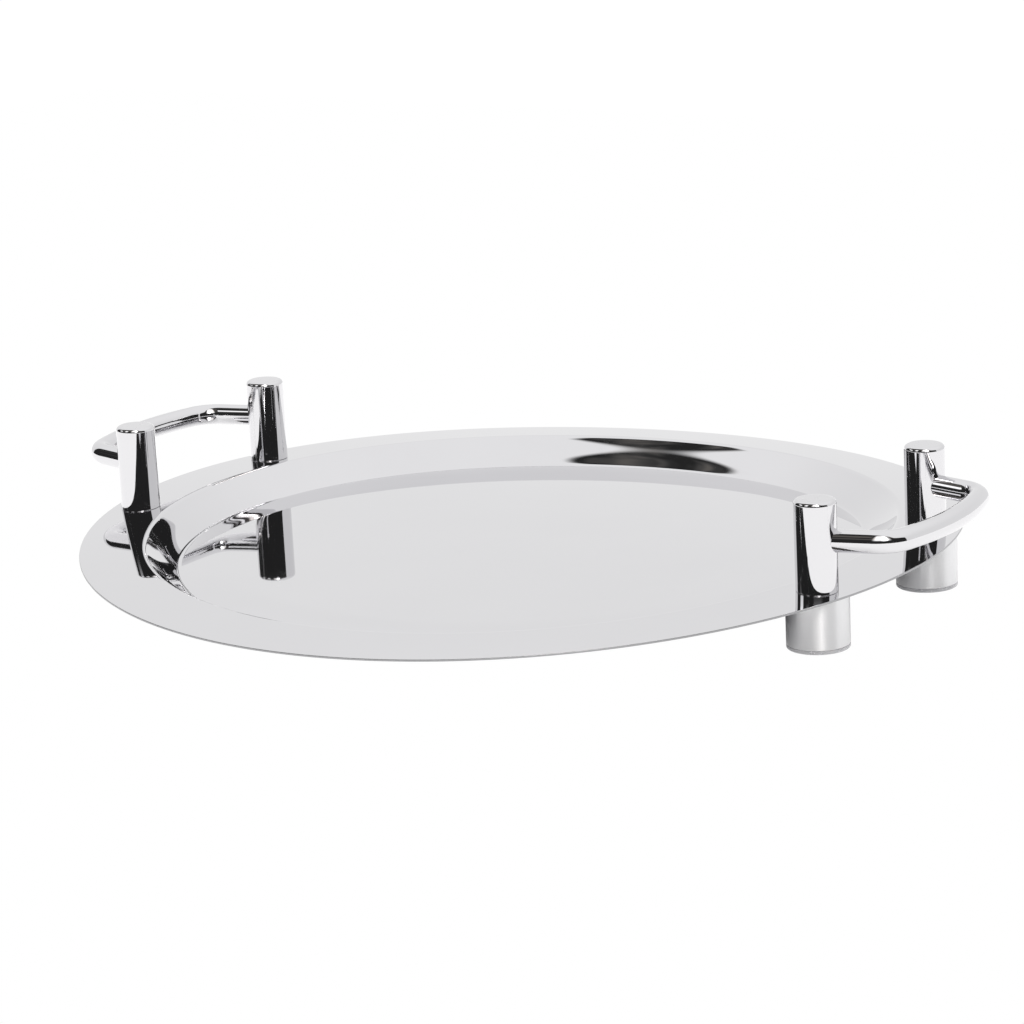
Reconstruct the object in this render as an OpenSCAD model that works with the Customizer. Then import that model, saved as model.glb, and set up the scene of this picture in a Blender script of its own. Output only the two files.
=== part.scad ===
// Round serving tray with two raised bar handles, on four feet.
// Millimetres. Z is up, X runs from handle to handle, z = 0 is under the foot pads.

/* [Tray] */
// Diameter over the rim
tray_d = 487; // [470:1:520]
// Diameter of the well, corner to corner, at the rim
well_d = 416; // [400:1:424]
// Diameter of the flat floor, corner to corner
floor_d = 380; // [350:1:390]
// Depth of the well below the rim
well_depth = 13.4; // [10:0.1:18]
// Thickness of the steel sheet
sheet_t = 1.2; // [0.8:0.1:2]
// Inside radius of the two pressed bends
bend_inside_r = 3.4; // [2:0.2:5]

/* [Posts] */
// Half of the distance between the left and the right posts
post_x = 217.4; // [214:0.2:218]
// Half of the distance between the two posts of one handle
post_y = 62; // [55:0.5:65]
// Diameter of a post
post_d = 22; // [20:0.5:24]
// Height of a post above the rim
post_h = 48; // [42:0.5:60]
// Radius on the top edge of a post
post_edge_r = 2; // [0.6:0.1:3]

/* [Handle bars] */
// Diameter of the bar
bar_d = 12; // [10:0.5:13]
// Height of the bar's centre line above the rim
bar_h = 26.2; // [25:0.1:30]
// Angle by which the two straight ends lean towards each other
bar_lean = 14.7; // [5:0.1:20]
// Centre line radius of the two tight bends
bar_bend_r = 18; // [14:0.5:24]
// Centre line radius of the long outer bow
bar_bow_r = 161; // [140:1:200]
// Distance from the tray's centre to the middle of the bow
bar_reach = 263.6; // [258:0.2:272]
// Depth of the bar's end in the post
bar_seat = 7; // [5:0.5:8]
// Swelling of the tight bends, on the bar's diameter
bend_swell = 0.1; // [0.1:0.05:0.2]

/* [Feet] */
// Diameter of a foot
foot_d = 33; // [30:0.5:34]
// Height of the metal foot
foot_h = 26.7; // [22:0.1:32]
// Edge radius of the metal foot
foot_edge_r = 0.6; // [0.3:0.1:1]
// Thickness of the pad under a foot
pad_t = 2; // [1.5:0.1:3]
// Edge radius on the underside of a pad
pad_edge_r = 0.8; // [0.4:0.1:1]
// Diameter of the bore inside a foot
foot_bore_d = 14; // [12:0.5:18]
// Height of the pad's plug inside that bore
plug_h = 5; // [3:0.5:8]

/* [Fixings] */
// Thread diameter of the screw
screw_d = 5; // [4:0.5:6]
// Reach of the screw into the post
screw_reach = 14; // [10:1:17]
// Clearance on the diameter of the holes for the screw
screw_gap = 0.4; // [0.2:0.1:0.6]
// Head diameter of the screw
head_d = 8.5; // [8:0.1:10]
// Head height of the screw
head_h = 5; // [4:0.5:6]
// Width across flats of the head's socket
socket_w = 4; // [3:0.5:5]
// Depth of the head's socket
socket_h = 2.5; // [1.5:0.5:3]
// Outer diameter of the spring washer
washer_d = 9.2; // [9:0.1:11]
// Thickness of the spring washer
washer_t = 1.3; // [1:0.1:1.6]
// Width of the slit in the spring washer
washer_slit = 0.8; // [0.5:0.1:1]
// Thickness of the metal left above the bore inside a foot
foot_web = 6; // [4:0.5:8]

/* [Hidden] */
$fn = 96;
edge_fn = 48;
sheet_fn = 180;

// Edge radius where one piece stands on another
seam_r = 0.2;
// Length by which a cut runs past the face that it opens
over = 1;

polished = "#d5d6da";
satin = "#b4b5b9";
pad_colour = "#dfe0e2";
zinc = "#9b9ea3";

// Which side a piece is on: left or right in X, front or rear in Y
left = -1;
right = 1;
front = -1;
rear = 1;

// Heights above the pads' undersides
foot_z = pad_t;
sheet_z = foot_z + foot_h;
rim_z = sheet_z + sheet_t;
bar_z = rim_z + bar_h;
web_z = sheet_z - foot_web;
head_z = web_z - washer_t - head_h;

// The sheet's section: slope of the wall, and tangent lengths of its bends
wall_slope = atan2(well_depth, (well_d - floor_d) / 2);
bend_outside_r = bend_inside_r + sheet_t;
bend_steps = 6;

// The bar's centre line in plan, for the rear end of the right handle
bar_dir = [cos(bar_lean), -sin(bar_lean)];
bar_in = [-sin(bar_lean), -cos(bar_lean)];
bow_centre = [bar_reach - bar_bow_r, 0];
bend_line = [post_x, post_y] + bar_bend_r * bar_in - bow_centre;
bend_along = bend_line * bar_dir;
bend_gap = bend_line * bend_line - pow(bar_bow_r - bar_bend_r, 2);
bar_straight = sqrt(bend_along * bend_along - bend_gap) - bend_along;
bend_centre = [post_x, post_y] + bar_bend_r * bar_in + bar_straight * bar_dir;
bow_half = atan2(bend_centre[1], bend_centre[0] - bow_centre[0]);
bend_sweep = 90 - bar_lean - bow_half;
bar_start = post_d / 2 - bar_seat;

// The bow and the straight ends run this far into the bends, and its angle on the bow
bar_lap = 0.8;
lap_angle = bar_lap / bar_bow_r * 180 / PI;

// Points along an arc, from one angle to another
function arc(centre, r, from, to, steps) =
    [for (i = [0:steps]) centre + r * [cos(from + (to - from) * i / steps),
                                       sin(from + (to - from) * i / steps)]];

// Centres of the sheet's two bends: above the floor's corner, below the rim's corner
function floor_bend() =
    [floor_d / 2 - bend_inside_r * tan(wall_slope / 2), -well_depth + bend_inside_r];
function rim_bend() =
    [well_d / 2 + bend_outside_r * tan(wall_slope / 2), -bend_outside_r];

// Section of the sheet, with its upper face's rim at height 0
module sheet_section() {
    upper = concat(
        arc(floor_bend(), bend_inside_r, -90, wall_slope - 90, bend_steps),
        arc(rim_bend(), bend_outside_r, wall_slope + 90, 90, bend_steps));
    lower = concat(
        arc(rim_bend(), bend_inside_r, 90, wall_slope + 90, bend_steps),
        arc(floor_bend(), bend_outside_r, wall_slope - 90, -90, bend_steps));
    polygon(concat(
        [[0, -well_depth]], upper, [[tray_d / 2, 0], [tray_d / 2, -sheet_t]],
        lower, [[0, -well_depth - sheet_t]]));
}

// A round bar standing on height 0, with an edge radius at its top and its foot
module round_bar(d, h, top_r, foot_r) {
    rotate_extrude()
        intersection() {
            union() {
                translate([0, foot_r]) square([d / 2, h - top_r - foot_r]);
                square([d / 2 - foot_r, h / 2]);
                translate([0, h / 2]) square([d / 2 - top_r, h / 2]);
                translate([d / 2 - top_r, h - top_r]) circle(r = top_r, $fn = edge_fn);
                translate([d / 2 - foot_r, foot_r]) circle(r = foot_r, $fn = edge_fn);
            }
            square([d, h]);
        }
}

// Places what follows on the axis of one post
module on_axis(side, end, z) {
    translate([side * post_x, end * post_y, z]) children();
}

// Direction in which the bar leaves a post
function bar_angle(side, end) = side == right ? -end * bar_lean : 180 + end * bar_lean;

module post(side, end) {
    on_axis(side, end, rim_z)
        difference() {
            round_bar(post_d, post_h, post_edge_r, seam_r);
            translate([0, 0, -over]) cylinder(d = screw_d, h = screw_reach + over);
            rotate([0, 0, bar_angle(side, end)])
                translate([bar_start, 0, bar_h])
                    rotate([0, 90, 0]) cylinder(d = bar_d, h = post_d);
        }
}

module handle_bar(side) {
    rotate([0, 0, side == right ? 0 : 180])
        translate([0, 0, bar_z])
            union() {
                translate(bow_centre)
                    rotate([0, 0, -bow_half - lap_angle])
                        rotate_extrude(angle = 2 * (bow_half + lap_angle))
                            translate([bar_bow_r, 0]) circle(d = bar_d);
                handle_end(rear);
                handle_end(front);
            }
}

// Tight bend and straight end of a bar, into its post
module handle_end(end) {
    translate([bend_centre[0], end * bend_centre[1], 0])
        rotate([0, 0, end == rear ? bow_half : -bow_half - bend_sweep])
            rotate_extrude(angle = bend_sweep)
                translate([bar_bend_r, 0]) circle(d = bar_d + bend_swell);
    translate([post_x, end * post_y, 0])
        rotate([0, 0, -end * bar_lean])
            translate([bar_start, 0, 0])
                rotate([0, 90, 0]) cylinder(d = bar_d, h = bar_straight + bar_lap - bar_start);
}

module foot(side, end) {
    on_axis(side, end, foot_z)
        difference() {
            round_bar(foot_d, foot_h, seam_r, foot_edge_r);
            translate([0, 0, -over]) cylinder(d = foot_bore_d, h = foot_h - foot_web + over);
            translate([0, 0, -over]) cylinder(d = screw_d + screw_gap, h = foot_h + 2 * over);
        }
}

module pad(side, end) {
    on_axis(side, end, 0) {
        round_bar(foot_d, pad_t, seam_r, pad_edge_r);
        translate([0, 0, pad_t]) cylinder(d = foot_bore_d, h = plug_h);
    }
}

module screw(side, end) {
    on_axis(side, end, head_z)
        difference() {
            union() {
                cylinder(d = head_d, h = head_h);
                cylinder(d = screw_d, h = rim_z + screw_reach - head_z);
            }
            translate([0, 0, -over])
                cylinder(d = socket_w / cos(30), h = socket_h + over, $fn = 6);
        }
}

module washer(side, end) {
    on_axis(side, end, web_z - washer_t)
        difference() {
            cylinder(d = washer_d, h = washer_t);
            translate([0, 0, -over]) cylinder(d = screw_d + screw_gap, h = washer_t + 2 * over);
            translate([0, -washer_slit / 2, -over]) cube([washer_d, washer_slit, washer_t + 2 * over]);
        }
}

module tray_sheet() {
    color(polished)
        difference() {
            translate([0, 0, rim_z]) rotate_extrude($fn = sheet_fn) sheet_section();
            for (side = [left, right])
                for (end = [front, rear])
                    on_axis(side, end, sheet_z - over)
                        cylinder(d = screw_d + screw_gap, h = sheet_t + 2 * over);
        }
}

module front_left_post() { color(polished) post(left, front); }
module rear_left_post() { color(polished) post(left, rear); }
module front_right_post() { color(polished) post(right, front); }
module rear_right_post() { color(polished) post(right, rear); }
module left_handle_bar() { color(polished) handle_bar(left); }
module right_handle_bar() { color(polished) handle_bar(right); }
module front_left_foot() { color(satin) foot(left, front); }
module rear_left_foot() { color(satin) foot(left, rear); }
module front_right_foot() { color(satin) foot(right, front); }
module rear_right_foot() { color(satin) foot(right, rear); }
module front_left_pad() { color(pad_colour) pad(left, front); }
module rear_left_pad() { color(pad_colour) pad(left, rear); }
module front_right_pad() { color(pad_colour) pad(right, front); }
module rear_right_pad() { color(pad_colour) pad(right, rear); }
module front_left_screw() { color(zinc) screw(left, front); }
module rear_left_screw() { color(zinc) screw(left, rear); }
module front_right_screw() { color(zinc) screw(right, front); }
module rear_right_screw() { color(zinc) screw(right, rear); }
module front_left_washer() { color(zinc) washer(left, front); }
module rear_left_washer() { color(zinc) washer(left, rear); }
module front_right_washer() { color(zinc) washer(right, front); }
module rear_right_washer() { color(zinc) washer(right, rear); }

tray_sheet();
front_left_post();
rear_left_post();
front_right_post();
rear_right_post();
left_handle_bar();
right_handle_bar();
front_left_foot();
rear_left_foot();
front_right_foot();
rear_right_foot();
front_left_pad();
rear_left_pad();
front_right_pad();
rear_right_pad();
front_left_screw();
rear_left_screw();
front_right_screw();
rear_right_screw();
front_left_washer();
rear_left_washer();
front_right_washer();
rear_right_washer();
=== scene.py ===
import math

import bmesh
import bpy
from mathutils import Matrix, Vector


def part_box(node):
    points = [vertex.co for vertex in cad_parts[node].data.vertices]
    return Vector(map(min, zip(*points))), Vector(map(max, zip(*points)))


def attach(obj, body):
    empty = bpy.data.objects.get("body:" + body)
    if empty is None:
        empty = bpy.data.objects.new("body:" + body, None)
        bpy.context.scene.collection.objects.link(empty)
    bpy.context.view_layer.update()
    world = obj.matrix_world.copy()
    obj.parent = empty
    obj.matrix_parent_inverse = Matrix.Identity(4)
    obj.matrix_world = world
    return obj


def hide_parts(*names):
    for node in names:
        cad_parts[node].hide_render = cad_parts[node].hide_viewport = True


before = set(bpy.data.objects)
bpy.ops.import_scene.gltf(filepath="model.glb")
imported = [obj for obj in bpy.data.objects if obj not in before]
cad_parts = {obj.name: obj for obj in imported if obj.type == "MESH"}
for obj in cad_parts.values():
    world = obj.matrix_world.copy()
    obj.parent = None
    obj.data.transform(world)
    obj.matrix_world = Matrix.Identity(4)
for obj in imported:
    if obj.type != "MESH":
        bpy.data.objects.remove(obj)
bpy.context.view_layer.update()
print("frame loaded:", len(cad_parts), "nodes")

corners = ("front_left", "rear_left", "front_right", "rear_right")

# The rim's height and radius, and the tray's middle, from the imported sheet
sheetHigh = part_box("tray_sheet")[1]
rimZ, rimRadius = sheetHigh.z, sheetHigh.x
trayMiddle = Vector((0, 0, rimZ))

hair = 1e-6       # lengths closer than this are the same
flat = 0.99       # least upward part of a level face's normal
smoothAngle = 35  # degrees, up to which two faces are shaded as one
noiseRoughness = 0.55


cameraView = {
    "azimuth": 33.04,     # degrees round from the front
    "elevation": 14.68,
    "roll": -2.72,
    "distance": 2.0477,   # from the tray's middle, at the rim's height
    "lens": 130.3,        # millimetres, as is the sensor
    "sensor": 36,
    "nearest": 0.05,
    "farthest": 60,
    "aimRight": -0.00503,  # where the optical axis passes the tray's middle
    "aimUp": 0.00366,
}


def makeCamera():
    view = cameraView
    around, above = math.radians(view["azimuth"]), math.radians(view["elevation"])
    level = Vector((math.cos(around), math.sin(around), 0))
    outward = Vector((math.sin(around), -math.cos(around), 0))
    backward = outward * math.cos(above) + Vector((0, 0, math.sin(above)))
    upright = backward.cross(level)
    roll = math.radians(view["roll"])
    rightward = level * math.cos(roll) + upright * math.sin(roll)
    upward = backward.cross(rightward)
    place = trayMiddle + backward * view["distance"]
    aim = trayMiddle + rightward * view["aimRight"] + upward * view["aimUp"]
    turn = backward.rotation_difference(place - aim).to_matrix()
    facing = Matrix((rightward, upward, backward)).transposed()
    camera = bpy.data.objects.new("productCamera", bpy.data.cameras.new("productCamera"))
    bpy.context.scene.collection.objects.link(camera)
    camera.matrix_world = Matrix.Translation(place) @ (turn @ facing).to_4x4()
    camera.data.lens = view["lens"]
    camera.data.sensor_width = view["sensor"]
    camera.data.clip_start = view["nearest"]
    camera.data.clip_end = view["farthest"]
    bpy.context.scene.camera = camera


# A wrapped socket, on which expressions add their nodes
class Shade:
    def __init__(self, tree, socket=None):
        self.tree = tree
        self.socket = socket

    def add(self, kind, settings=None, inputs=None, output=0):
        node = self.tree.nodes.new(kind)
        for name, value in (settings or {}).items():
            setattr(node, name, value)
        for name, value in (inputs or {}).items():
            if isinstance(value, Shade):
                self.tree.links.new(value.socket, node.inputs[name])
            else:
                node.inputs[name].default_value = value
        return Shade(self.tree, node.outputs[output] if len(node.outputs) else None)

    def maths(self, operation, *values):
        return self.add("ShaderNodeMath", {"operation": operation}, dict(enumerate(values)))

    def __add__(self, other):
        return self.maths("ADD", self, other)

    __radd__ = __add__

    def __mul__(self, other):
        return self.maths("MULTIPLY", self, other)

    __rmul__ = __mul__

    def __sub__(self, other):
        return self.maths("SUBTRACT", self, other)

    def __rsub__(self, other):
        return self.maths("SUBTRACT", other, self)

    def smooth(self, low, high):
        return self.add(
            "ShaderNodeMapRange", {"interpolation_type": "SMOOTHSTEP"},
            {"Value": self, "From Min": low, "From Max": high})

    def between(self, first, second):
        return self.add(
            "ShaderNodeMix", {"data_type": "RGBA"}, {0: self, 6: first, 7: second}, output=2)


def coordinates(shade, name="Object"):
    return shade.add("ShaderNodeTexCoord", output={"Generated": 0, "Object": 3}[name])


def axesOf(shade, place):
    node = shade.add("ShaderNodeSeparateXYZ", None, {0: place}).socket.node
    return [Shade(shade.tree, output) for output in node.outputs]


def noise(shade, place, scale, detail=2.0, stretch=(1, 1, 1)):
    stretched = shade.add("ShaderNodeVectorMath", {"operation": "MULTIPLY"}, {0: place, 1: stretch})
    return shade.add(
        "ShaderNodeTexNoise", None,
        {"Vector": stretched, "Scale": scale, "Detail": detail, "Roughness": noiseRoughness})


def newMaterial(name):
    material = bpy.data.materials.new(name)
    material.use_nodes = True
    material.node_tree.nodes.clear()
    return material, Shade(material.node_tree)


def finishMaterial(shade, surface):
    shade.add("ShaderNodeOutputMaterial", None, {"Surface": surface})


def bumpFrom(shade, height):
    return shade.add("ShaderNodeBump", None, {"Strength": 1.0, "Distance": 1.0, "Height": height})


mirrorSteel = {
    "bright": (0.715, 0.711, 0.726, 1),
    "dull": (0.690, 0.686, 0.702, 1),
    "cutEdge": (0.36, 0.36, 0.37, 1),  # sheared rim of the sheet
    "cutWidth": 0.00025,
    "cutDull": 0.3,       # roughness added on that rim
    "gloss": 0.022,       # roughness of the clean mirror
    "cloudScale": 14,
    "smudgeScale": 55,
    "haze": 0.035,        # added where the polish is hazy or smudged
    "lineScale": 900,
    "lineHeight": 0.0000004,
    "lineDull": 0.012,
    "waveScale": 7,
    "waveHeight": 0.00003,
    "rippleScale": 330,   # shallow ripples round a turned post
    "rippleStretch": (1, 1, 0.03),
    "rippleHeight": 0.00003,
    "streakScale": 260,   # polishing streaks along it
    "streakStretch": (1, 1, 0.012),
    "streakHeight": 0.000018,
    "streakDull": 0.20,
}


def makeMirrorSteel(name, lineStretch, waves=0, turned=False, cutRadius=None):
    finish = mirrorSteel
    material, shade = newMaterial(name)
    place = coordinates(shade)
    cloud = noise(shade, place, finish["cloudScale"], 3)
    smudge = noise(shade, place, finish["smudgeScale"], 4).smooth(0.52, 0.72) * cloud.smooth(0.42, 0.62)
    lines = noise(shade, place, finish["lineScale"], 2, lineStretch)
    colour = cloud.between(finish["bright"], finish["dull"])
    roughness = finish["gloss"] + smudge * finish["haze"] + lines.smooth(0.5, 0.8) * finish["lineDull"]
    wave = noise(shade, place, finish["waveScale"], 1)
    height = lines * finish["lineHeight"] + wave * (finish["waveHeight"] * waves)
    if turned:
        ripple = noise(shade, place, finish["rippleScale"], 1, finish["rippleStretch"])
        streaks = noise(shade, place, finish["streakScale"], 3, finish["streakStretch"]).smooth(0.56, 0.66)
        height = height + ripple * finish["rippleHeight"] + streaks * finish["streakHeight"]
        roughness = roughness + streaks * finish["streakDull"]
    if cutRadius:
        x, y, z = axesOf(shade, place)
        fromMiddle = shade.maths("SQRT", x * x + y * y)
        cut = fromMiddle.smooth(cutRadius - finish["cutWidth"], cutRadius - finish["cutWidth"] * 0.4)
        colour = cut.between(colour, finish["cutEdge"])
        roughness = roughness + cut * finish["cutDull"]
    surface = shade.add("ShaderNodeBsdfPrincipled", None, {
        "Base Color": colour, "Metallic": 1.0, "Roughness": roughness,
        "Normal": bumpFrom(shade, height)})
    finishMaterial(shade, surface)
    return material


satinSteel = {
    "bright": (0.84, 0.84, 0.85, 1),
    "dull": (0.77, 0.77, 0.78, 1),
    "roughness": 0.36,
    "turned": 0.85,       # anisotropy of the turning marks
    "turnedWay": 0.25,
    "ringScale": 1500,
    "ringHeight": 0.00001,
    "ringDull": 0.10,
    "grainScale": 700,
    "cloudScale": 60,
    "cloudDull": 0.05,
}


def makeSatinSteel():
    finish = satinSteel
    material, shade = newMaterial("satinFootSteel")
    place = coordinates(shade)
    rings = noise(shade, place, finish["ringScale"], 2, (0.02, 0.02, 1))
    grain = noise(shade, place, finish["grainScale"], 2, (1, 1, 0.2))
    cloud = noise(shade, place, finish["cloudScale"], 3)
    colour = (rings * 0.6 + grain * 0.4).between(finish["dull"], finish["bright"])
    roughness = finish["roughness"] + rings * finish["ringDull"] + cloud * finish["cloudDull"]
    surface = shade.add("ShaderNodeBsdfPrincipled", None, {
        "Base Color": colour, "Metallic": 1.0, "Roughness": roughness,
        "Normal": bumpFrom(shade, rings * finish["ringHeight"]),
        "Anisotropic": finish["turned"], "Anisotropic Rotation": finish["turnedWay"]})
    finishMaterial(shade, surface)
    return material


clearPad = {
    "bright": (0.80, 0.80, 0.82, 1),
    "dull": (0.66, 0.66, 0.69, 1),
    "roughness": 0.22,
    "cloudScale": 180,
    "cloudHeight": 0.00002,
    "dustScale": 900,
    "dustDull": 0.2,
    "bending": 1.49,      # index of refraction
    "clearness": 0.35,
}


def makeClearPad():
    finish = clearPad
    material, shade = newMaterial("clearPadPlastic")
    place = coordinates(shade)
    cloud = noise(shade, place, finish["cloudScale"], 3)
    dust = noise(shade, place, finish["dustScale"], 2).smooth(0.6, 0.75)
    colour = cloud.between(finish["bright"], finish["dull"])
    roughness = finish["roughness"] + dust * finish["dustDull"]
    surface = shade.add("ShaderNodeBsdfPrincipled", None, {
        "Base Color": colour, "Roughness": roughness, "IOR": finish["bending"],
        "Transmission Weight": finish["clearness"],
        "Normal": bumpFrom(shade, cloud * finish["cloudHeight"])})
    finishMaterial(shade, surface)
    return material


zincSteel = {
    "blue": (0.52, 0.53, 0.54, 1),
    "warm": (0.60, 0.60, 0.58, 1),
    "roughness": 0.28,
    "cloudScale": 400,
    "cloudDull": 0.15,
    "cloudHeight": 0.00001,
}


def makeFixingSteel():
    finish = zincSteel
    material, shade = newMaterial("zincFixingSteel")
    cloud = noise(shade, coordinates(shade), finish["cloudScale"], 3)
    colour = cloud.between(finish["blue"], finish["warm"])
    roughness = finish["roughness"] + cloud * finish["cloudDull"]
    surface = shade.add("ShaderNodeBsdfPrincipled", None, {
        "Base Color": colour, "Metallic": 1.0, "Roughness": roughness,
        "Normal": bumpFrom(shade, cloud * finish["cloudHeight"])})
    finishMaterial(shade, surface)
    return material


def startPiece(name):
    piece = bpy.context.active_object
    piece.name = name
    piece.data.name = name
    bpy.ops.object.transform_apply(location=True, rotation=True, scale=True)
    return piece


def selectOnly(piece):
    bpy.ops.object.select_all(action="DESELECT")
    bpy.context.view_layer.objects.active = piece
    piece.select_set(True)


def beginEdit(piece):
    selectOnly(piece)
    bpy.ops.object.mode_set(mode="EDIT")
    bpy.ops.mesh.select_mode(type="EDGE")


def pickFaces(piece, wanted):
    mesh = bmesh.from_edit_mesh(piece.data)
    for face in mesh.faces:
        face.select = wanted(face)
    bmesh.update_edit_mesh(piece.data)


def pickEdges(piece, wanted):
    mesh = bmesh.from_edit_mesh(piece.data)
    for element in (*mesh.verts, *mesh.edges, *mesh.faces):
        element.select = False
    for edge in mesh.edges:
        if wanted(edge):
            edge.select_set(True)
    bmesh.update_edit_mesh(piece.data)


def endEdit(piece, angle=smoothAngle):
    bpy.ops.mesh.select_all(action="SELECT")
    bpy.ops.mesh.normals_make_consistent(inside=False)
    bpy.ops.object.mode_set(mode="OBJECT")
    bpy.ops.object.shade_smooth_by_angle(angle=math.radians(angle))
    return piece


def roundEdge(piece, height, radius, middle, size, steps):
    pickEdges(piece, lambda edge: all(
        abs(v.co.z - height) < hair and abs((v.co.xy - middle.xy).length - radius) < 10 * hair
        for v in edge.verts))
    bpy.ops.mesh.bevel(offset=size, segments=steps, affect="EDGES")


def pickTop(piece, height):
    pickFaces(piece, lambda face: face.normal.z > flat and face.calc_center_median().z > height - hair)


def addCylinder(low, high, sides):
    bpy.ops.object.select_all(action="DESELECT")
    bpy.ops.mesh.primitive_cylinder_add(
        vertices=sides, radius=(high.x - low.x) / 2, depth=high.z - low.z, location=(low + high) / 2)


def useModifier(piece, kind, settings):
    modifier = piece.modifiers.new(kind.lower(), kind)
    for name, value in settings.items():
        setattr(modifier, name, value)
    selectOnly(piece)
    bpy.ops.object.modifier_apply(modifier=modifier.name)


def pieceName(corner, kind):
    end, side = corner.split("_")
    return end + side.capitalize() + kind


def settle(piece, material, slot, *nodes):
    # Small roundings must not bend the light on the long faces beside them
    useModifier(piece, "WEIGHTED_NORMAL", {"weight": 100, "keep_sharp": True})
    piece.data.materials.clear()
    piece.data.materials.append(material)
    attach(piece, "root")
    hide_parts(*nodes)


sheet = {
    "sides": 384,
    "thickness": 0.0012,
    "floorRadius": 0.190,    # corner of the floor and the wall
    "wellRadius": 0.208,     # corner of the wall and the rim
    "wellDepth": 0.0154,     # from the wall's upper corner to the floor's corner
    "wallSteps": 20,
    "wallWave": 1.1,         # degrees by which the pressed wall's slope swings
    "wallSteepest": 0.12,    # where it is steepest, from the wall's foot to its top
    "wallGain": 0.9,         # degrees by which it gets steeper upwards
    "crownHeight": 0.0009,   # the floor's middle stands this much over its corner
    "crownFrom": 0.165,
    "rimSlope": 2.6,         # degrees, the rim falls outwards
    "rimRise": 0.00126,      # of the wall's upper corner over the posts' seats
    "floorBend": 0.0045,
    "rimBend": 0.0042,
    "bendSteps": 10,
    "rimSag": 0.124,         # height lost towards the front and the rear, per metre squared
    "frontSag": 0.012,       # of the floor's front half, which is flatter
    "sagFrom": 0.155,        # radii between which its sag becomes the rim's
    "sagTo": 0.208,
    "edgeRound": 0.0003,
    "edgeSteps": 3,
    "edgeAngle": 50,
    "screwHole": 0.0027,
    "holeSides": 32,
    "drillDepth": 0.01,
    "middleRings": (0.04, 0.08, 0.12, 0.14, 0.15),
    "outerRings": 12,        # from the last of those to the floor's bend
    "outerRingReach": 0.036,
    "rimRings": 6,
}


def cornerArc(before, corner, after, radius, steps):
    inward, outward = (before - corner).normalized(), (after - corner).normalized()
    half = inward.angle(outward) / 2
    reach = radius / math.tan(half)
    middle = corner + (inward + outward).normalized() * (radius / math.sin(half))
    first, last = corner + inward * reach - middle, corner + outward * reach - middle
    sweep = first.angle_signed(last)
    points = []
    for i in range(steps + 1):
        turned = first.copy()
        turned.rotate(Matrix.Rotation(-sweep * i / steps, 2))
        points.append(middle + turned)
    return points


def sheetOutline(outerRadius):
    s = sheet
    slope = math.tan(math.radians(s["rimSlope"]))
    floorZ = s["rimRise"] - s["wellDepth"]
    inside = Vector((0, floorZ))
    floorCorner = Vector((s["floorRadius"], floorZ))
    wellCorner = Vector((s["wellRadius"], s["rimRise"]))
    rimEdge = Vector((outerRadius, s["rimRise"] - slope * (outerRadius - s["wellRadius"])))
    rings, reach = s["outerRings"], s["outerRingReach"]
    radii = list(s["middleRings"])
    radii += [radii[-1] + reach * ring / rings for ring in range(1, rings + 1)]
    outline = [Vector((radius, floorZ)) for radius in radii]
    outline += cornerArc(inside, floorCorner, wellCorner, s["floorBend"], s["bendSteps"])
    bend = cornerArc(floorCorner, wellCorner, rimEdge, s["rimBend"], s["bendSteps"])
    start, run = outline[-1], bend[0] - outline[-1]
    across = Vector((-run.y, run.x))  # out of the wall's upper face
    turn = 2 * math.pi
    wave, gain = math.radians(s["wallWave"]) / turn, math.radians(s["wallGain"]) / 2
    for step in range(1, s["wallSteps"]):
        t = step / s["wallSteps"]
        swing = math.sin(turn * (t - s["wallSteepest"])) + math.sin(turn * s["wallSteepest"])
        outline.append(start + run * t + across * (wave * swing - gain * t * (1 - t)))
    outline += bend
    outline += [bend[-1].lerp(rimEdge, ring / s["rimRings"]) for ring in range(1, s["rimRings"] + 1)]
    return outline


def rimTop(place):
    s = sheet
    fall = math.tan(math.radians(s["rimSlope"])) * (place.xy.length - s["wellRadius"])
    return rimZ + s["rimRise"] - fall - s["rimSag"] * place.y ** 2


def share(value, start, end):
    return min(max((value - start) / (end - start), 0), 1)


def makeTraySheet(material):
    s = sheet
    outline = sheetOutline(rimRadius)
    bpy.ops.object.select_all(action="DESELECT")
    bpy.ops.mesh.primitive_circle_add(
        vertices=s["sides"], radius=outline[0].x, fill_type="NGON",
        location=(0, 0, rimZ + outline[0].y))
    piece = startPiece("traySheet")
    beginEdit(piece)
    bpy.ops.mesh.select_all(action="SELECT")
    bpy.ops.mesh.region_to_loop()
    for inner, outer in zip(outline, outline[1:]):
        bpy.ops.mesh.extrude_edges_move(
            TRANSFORM_OT_translate={"value": (0, 0, outer.y - inner.y)})
        grow = outer.x / inner.x
        bpy.ops.transform.resize(value=(grow, grow, 1), center_override=(0, 0, 0))
    endEdit(piece)
    for vertex in piece.data.vertices:  # the sheet sags towards the front and the rear
        t = share(vertex.co.xy.length, s["sagFrom"], s["sagTo"])
        t = 1 if vertex.co.y > 0 else t
        sag = s["frontSag"] + (s["rimSag"] - s["frontSag"]) * t * t * (3 - 2 * t)
        vertex.co.z -= sag * vertex.co.y ** 2
        t = share(vertex.co.xy.length, s["crownFrom"], s["floorRadius"])
        vertex.co.z += s["crownHeight"] * (1 - t ** 2)
    useModifier(piece, "SOLIDIFY", {
        "thickness": s["thickness"], "offset": -1, "use_even_offset": True})
    useModifier(piece, "BEVEL", {
        "width": s["edgeRound"], "segments": s["edgeSteps"],
        "limit_method": "ANGLE", "angle_limit": math.radians(s["edgeAngle"])})
    drillSheet(piece)
    selectOnly(piece)
    bpy.ops.object.shade_smooth_by_angle(angle=math.radians(smoothAngle))
    settle(piece, material, "tray_steel", "tray_sheet")
    print("tray sheet:", len(piece.data.polygons), "faces")


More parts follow.
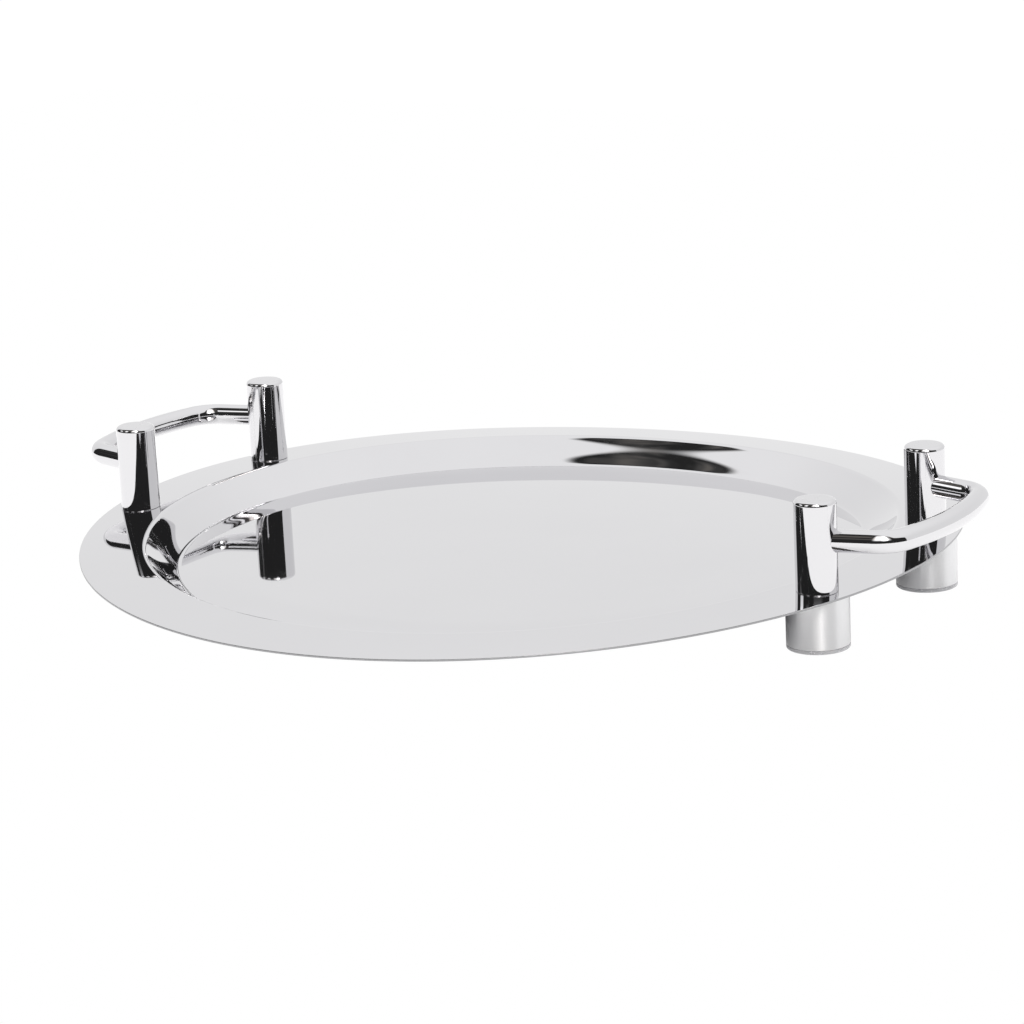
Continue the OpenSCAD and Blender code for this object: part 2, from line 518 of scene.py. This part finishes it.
def drillSheet(piece):
    for corner in corners:
        low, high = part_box(corner + "_post")
        bpy.ops.object.select_all(action="DESELECT")
        bpy.ops.mesh.primitive_cylinder_add(
            vertices=sheet["holeSides"], radius=sheet["screwHole"], depth=sheet["drillDepth"],
            location=((low.x + high.x) / 2, (low.y + high.y) / 2, rimZ))
        drill = bpy.context.active_object
        useModifier(piece, "BOOLEAN", {"operation": "DIFFERENCE", "solver": "EXACT", "object": drill})
        bpy.data.objects.remove(drill)


post = {
    "sides": 160,
    "topRound": 0.0024,
    "topSteps": 10,
    "footRound": 0.00035,
    "footSteps": 3,
    "seatGap": 0.00006,      # hairline between the post and the rim
    "screwRadius": 0.0025,
    "screwReach": 0.014,
    "topBorder": 0.0006,     # narrow ring round the flat top
    "seatReach": 0.001,      # height of the bottom part that follows the rim
}


def makePost(corner, material):
    s = post
    low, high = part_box(corner + "_post")
    middle, radius = (low + high) / 2, (high.x - low.x) / 2
    addCylinder(low, high, s["sides"])
    piece = startPiece(pieceName(corner, "Post"))
    beginEdit(piece)
    roundEdge(piece, high.z, radius, middle, s["topRound"], s["topSteps"])
    roundEdge(piece, low.z, radius, middle, s["footRound"], s["footSteps"])
    bpy.ops.mesh.select_mode(type="FACE")
    pickTop(piece, high.z)
    bpy.ops.mesh.inset(thickness=s["topBorder"])
    pickFaces(piece, lambda face: face.normal.z < -flat)
    bpy.ops.mesh.inset(thickness=radius - s["footRound"] - s["screwRadius"])
    bpy.ops.mesh.extrude_region_move(
        TRANSFORM_OT_translate={"value": (0, 0, s["screwReach"])})
    endEdit(piece)
    for vertex in piece.data.vertices:  # the seat is cut to the sloping rim
        if vertex.co.z < low.z + s["seatReach"]:
            vertex.co.z += rimTop(vertex.co) + s["seatGap"] - rimZ
    settle(piece, material, "post_steel", corner + "_post")


bar = {
    "sides": 64,
    "radius": 0.006,
    "lean": 14.7,            # degrees by which the straight ends lean together
    "bendRadius": 0.018,
    "bowRadius": 0.161,
    "seat": 0.007,           # depth of the bar's ends in the posts
    "bendSteps": 40,
    "bowSteps": 48,
    "smoothAngle": 50,
}


def barRoute(side):
    s = bar
    low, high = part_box(side + "_handle_bar")
    postLow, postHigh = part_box("rear_" + side + "_post")
    reach = max(abs(low.x), abs(high.x)) - s["radius"]
    postPlace = Vector((abs(postLow.x + postHigh.x) / 2, (postLow.y + postHigh.y) / 2))
    postRadius = (postHigh.x - postLow.x) / 2
    lean = math.radians(s["lean"])
    along = Vector((math.cos(lean), -math.sin(lean)))
    inward = Vector((-math.sin(lean), -math.cos(lean)))
    bowMiddle = Vector((reach - s["bowRadius"], 0))
    offset = postPlace + inward * s["bendRadius"] - bowMiddle
    ahead = offset.dot(along)
    gap = offset.length_squared - (s["bowRadius"] - s["bendRadius"]) ** 2
    straight = math.sqrt(ahead ** 2 - gap) - ahead
    bendMiddle = postPlace + inward * s["bendRadius"] + along * straight
    return {
        "start": postPlace + along * (postRadius - s["seat"]),
        "run": along * (straight - postRadius + s["seat"]),
        "bendMiddle": bendMiddle,
        "bowMiddle": bowMiddle,
        "bowHalf": math.atan2(bendMiddle.y, bendMiddle.x - bowMiddle.x),
        "height": (low.z + high.z) / 2,
    }


def makeBar(side, material):
    s = bar
    route = barRoute(side)
    height = route["height"]
    lean = math.radians(s["lean"])
    bendSweep = math.pi / 2 - lean - route["bowHalf"]
    bpy.ops.object.select_all(action="DESELECT")
    bpy.ops.mesh.primitive_circle_add(
        vertices=s["sides"], radius=s["radius"], fill_type="NGON",
        location=(route["start"].x, route["start"].y, height),
        rotation=(0, math.pi / 2, -lean))
    piece = startPiece(side + "HandleBar")
    beginEdit(piece)
    bpy.ops.mesh.select_all(action="SELECT")
    bpy.ops.mesh.region_to_loop()
    bends = (
        (bendSweep, route["bendMiddle"], s["bendSteps"]),
        (2 * route["bowHalf"], route["bowMiddle"], s["bowSteps"]),
        (bendSweep, Vector((route["bendMiddle"].x, -route["bendMiddle"].y)), s["bendSteps"]),
    )
    bpy.ops.mesh.extrude_edges_move(
        TRANSFORM_OT_translate={"value": (route["run"].x, route["run"].y, 0)})
    for sweep, middle, steps in bends:
        bpy.ops.mesh.spin(
            steps=steps, angle=sweep, center=(middle.x, middle.y, height), axis=(0, 0, 1))
    bpy.ops.mesh.extrude_edges_move(
        TRANSFORM_OT_translate={"value": (-route["run"].x, route["run"].y, 0)})
    bpy.ops.mesh.edge_face_add()
    bpy.ops.mesh.select_all(action="SELECT")
    bpy.ops.mesh.remove_doubles(threshold=hair)
    if side == "left":
        bpy.ops.transform.resize(value=(-1, -1, 1), center_override=(0, 0, 0))
    endEdit(piece, s["smoothAngle"])
    settle(piece, material, "bar_steel", side + "_handle_bar")


foot = {
    "sides": 160,
    "lowRound": 0.0006,
    "lowSteps": 5,
    "topRound": 0.0002,
    "topSteps": 3,
    "seatGap": 0.00006,      # hairline between the foot and the rim
    "boreRadius": 0.007,
    "web": 0.006,
    "screwHole": 0.0027,
    "seatReach": 0.001,      # height of the top part that follows the rim
}


def makeFoot(corner, material):
    s = foot
    low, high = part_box(corner + "_foot")
    middle, radius = (low + high) / 2, (high.x - low.x) / 2
    addCylinder(low, high, s["sides"])
    piece = startPiece(pieceName(corner, "Foot"))
    beginEdit(piece)
    roundEdge(piece, low.z, radius, middle, s["lowRound"], s["lowSteps"])
    roundEdge(piece, high.z, radius, middle, s["topRound"], s["topSteps"])
    bpy.ops.mesh.select_mode(type="FACE")
    pickFaces(piece, lambda face: face.normal.z < -flat)
    bpy.ops.mesh.inset(thickness=radius - s["lowRound"] - s["boreRadius"])
    bpy.ops.mesh.extrude_region_move(
        TRANSFORM_OT_translate={"value": (0, 0, high.z - low.z - s["web"])})
    bpy.ops.mesh.inset(thickness=s["boreRadius"] - s["screwHole"])
    pickTop(piece, high.z)
    bpy.ops.mesh.inset(thickness=radius - s["topRound"] - s["screwHole"])
    pickFaces(piece, lambda face: abs(face.normal.z) > flat and len(face.verts) == s["sides"]
              and max((v.co.xy - middle.xy).length for v in face.verts) < s["screwHole"] + 10 * hair)
    bpy.ops.mesh.bridge_edge_loops()
    endEdit(piece)
    for vertex in piece.data.vertices:  # the top is cut to the sloping rim
        if vertex.co.z > high.z - s["seatReach"]:
            vertex.co.z += rimTop(vertex.co) - sheet["thickness"] - s["seatGap"] - high.z
    settle(piece, material, "foot_satin_steel", corner + "_foot")


pad = {
    "sides": 160,
    "thickness": 0.002,
    "lowRound": 0.0008,
    "lowSteps": 6,
    "topRound": 0.0002,
    "topSteps": 3,
    "plugRadius": 0.007,
    "lowBorder": 0.002,
}


def makePad(corner, material):
    s = pad
    low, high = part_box(corner + "_pad")
    middle, radius = (low + high) / 2, (high.x - low.x) / 2
    top = low.z + s["thickness"]
    addCylinder(low, Vector((high.x, high.y, top)), s["sides"])
    piece = startPiece(pieceName(corner, "Pad"))
    beginEdit(piece)
    roundEdge(piece, low.z, radius, middle, s["lowRound"], s["lowSteps"])
    roundEdge(piece, top, radius, middle, s["topRound"], s["topSteps"])
    bpy.ops.mesh.select_mode(type="FACE")
    pickFaces(piece, lambda face: face.normal.z > flat)
    bpy.ops.mesh.inset(thickness=radius - s["topRound"] - s["plugRadius"])
    bpy.ops.mesh.extrude_region_move(TRANSFORM_OT_translate={"value": (0, 0, high.z - top)})
    pickFaces(piece, lambda face: face.normal.z < -flat and len(face.verts) == s["sides"])
    bpy.ops.mesh.inset(thickness=s["lowBorder"])
    endEdit(piece)
    settle(piece, material, "pad_plastic", corner + "_pad")


studio = {
    "floorSize": 3,
    "floorDrop": 0.0002,      # under the pads
    "floorGlow": 0.75,
    "paintedShadowFrom": 0.15,        # painted shadow of the tray: the floor's glow fades under it, between these radii, besides the real shade on its diffuse part
    "paintedShadowTo": 0.29,
    "floorWhite": (0.5, 0.5, 0.5, 1),
    "lowEdge": 0.12,          # the white wall starts at this Y near the horizon
    "highEdge": -0.126,       # and at this Y overhead, where it slants with X
    "highSlant": -0.19,
    "edgeBlur": 0.012,
    "lowWhite": 0.92,
    "highWhite": 1.04,
    # lamps: from and to round +X, from and to above the horizon, softness, in degrees, and power
    "lamps": (
        (-78, -35, 27, 74, 7, 1.6),
        (-55, -42, 27, 60, 4, 9.0),
        (-122, -105, 25, 50, 3, 1.6),
        (-160, -140, 21, 34, 3, 1.6),
    ),
    "white": (1.0, 1.0, 1.0, 1),
    "dark": 0.025,
    "patchScale": 2.6,
    "patchGlow": 0.15,        # of the soft patches in the dark part overhead
    "patchTint": (1.0, 0.9, 0.8, 1),
}


def makeFloor():
    s = studio
    bpy.ops.object.select_all(action="DESELECT")
    bpy.ops.mesh.primitive_plane_add(size=s["floorSize"], location=(0, 0, -s["floorDrop"]))
    floor = startPiece("studioFloor")
    material, shade = newMaterial("studioFloor")
    x, y, z = axesOf(shade, coordinates(shade))
    # painted shadow: the floor's glow is masked off under the tray; only its diffuse part is shaded for
    # real
    outsidePaintedShadow = shade.maths("SQRT", x * x + y * y).smooth(s["paintedShadowFrom"], s["paintedShadowTo"])
    paint = shade.add("ShaderNodeBsdfDiffuse", None, {"Color": s["floorWhite"]})
    glow = shade.add("ShaderNodeEmission", None, {"Color": s["white"], "Strength": s["floorGlow"]})
    glowing = shade.add("ShaderNodeAddShader", None, {0: paint, 1: glow})
    lit = shade.add("ShaderNodeMixShader", None, {0: outsidePaintedShadow, 1: paint, 2: glowing})
    plain = shade.add("ShaderNodeEmission", None, {"Color": s["white"], "Strength": 1.0})
    seen = shade.add("ShaderNodeLightPath")
    both = shade.add("ShaderNodeMixShader", None, {0: seen, 1: lit, 2: plain})
    below = shade.add("ShaderNodeNewGeometry", output=6)
    clear = shade.add("ShaderNodeBsdfTransparent")
    finishMaterial(shade, shade.add("ShaderNodeMixShader", None, {0: below, 1: both, 2: clear}))
    floor.data.materials.append(material)


def lampMask(shade, around, above, lamp):
    left, right, low, high, blur = (math.radians(angle) for angle in lamp[:5])
    width = around.smooth(left - blur, left + blur) * (1 - around.smooth(right - blur, right + blur))
    height = above.smooth(low - blur, low + blur) * (1 - above.smooth(high - blur, high + blur))
    return width * height * lamp[5]


def makeWorld():
    s = studio
    world = bpy.data.worlds.new("studioRoom")
    bpy.context.scene.world = world
    world.use_nodes = True
    world.node_tree.nodes.clear()
    shade = Shade(world.node_tree)
    place = coordinates(shade, "Generated")
    x, y, z = axesOf(shade, place)
    overhead = z.smooth(0.45, 0.72)
    edge = s["lowEdge"] + overhead * (s["highEdge"] - s["lowEdge"] + x * s["highSlant"])
    white = s["lowWhite"] + z.smooth(0.3, 0.8) * (s["highWhite"] - s["lowWhite"])
    wall = (y - edge).smooth(-s["edgeBlur"], s["edgeBlur"]) * white
    seen = shade.add("ShaderNodeLightPath")
    lit = shade.maths("MAXIMUM", wall, seen)
    around, above = shade.maths("ARCTAN2", y, x), shade.maths("ARCSINE", z)
    lamps = sum(lampMask(shade, around, above, lamp) for lamp in s["lamps"])
    patches = noise(shade, place, s["patchScale"], 3, (1, 3, 1)).smooth(0.42, 0.66)
    patches = patches * overhead * (1 - lit)
    light = shade.maths("MAXIMUM", lit, lamps * (1 - seen)) + patches * s["patchGlow"] + s["dark"]
    tint = patches.between(s["white"], s["patchTint"])
    background = shade.add("ShaderNodeBackground", None, {"Color": tint, "Strength": light})
    shade.add("ShaderNodeOutputWorld", None, {"Surface": background})


makeCamera()
makeFloor()
makeWorld()
bpy.context.scene.view_settings.view_transform = "Standard"
print("camera and studio made")

sheetSteel = makeMirrorSteel("mirrorSheetSteel", (1, 1, 1), waves=1, cutRadius=rimRadius)
postSteel = makeMirrorSteel("mirrorPostSteel", (0.05, 0.05, 1), turned=True)
barSteel = makeMirrorSteel("mirrorBarSteel", (1, 0.1, 1))
footSteel = makeSatinSteel()
padPlastic = makeClearPad()
fixingSteel = makeFixingSteel()
print("materials made")

makeTraySheet(sheetSteel)
for side in ("left", "right"):
    makeBar(side, barSteel)
for corner in corners:
    makePost(corner, postSteel)
    makeFoot(corner, footSteel)
    makePad(corner, padPlastic)
for corner in corners:
    for kind in ("_screw", "_washer"):
        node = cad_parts[corner + kind]
        node.data.materials.clear()
        node.data.materials.append(fixingSteel)
print("pieces made:", 1 + 2 + 3 * len(corners), "new,", 2 * len(corners), "from the frame")
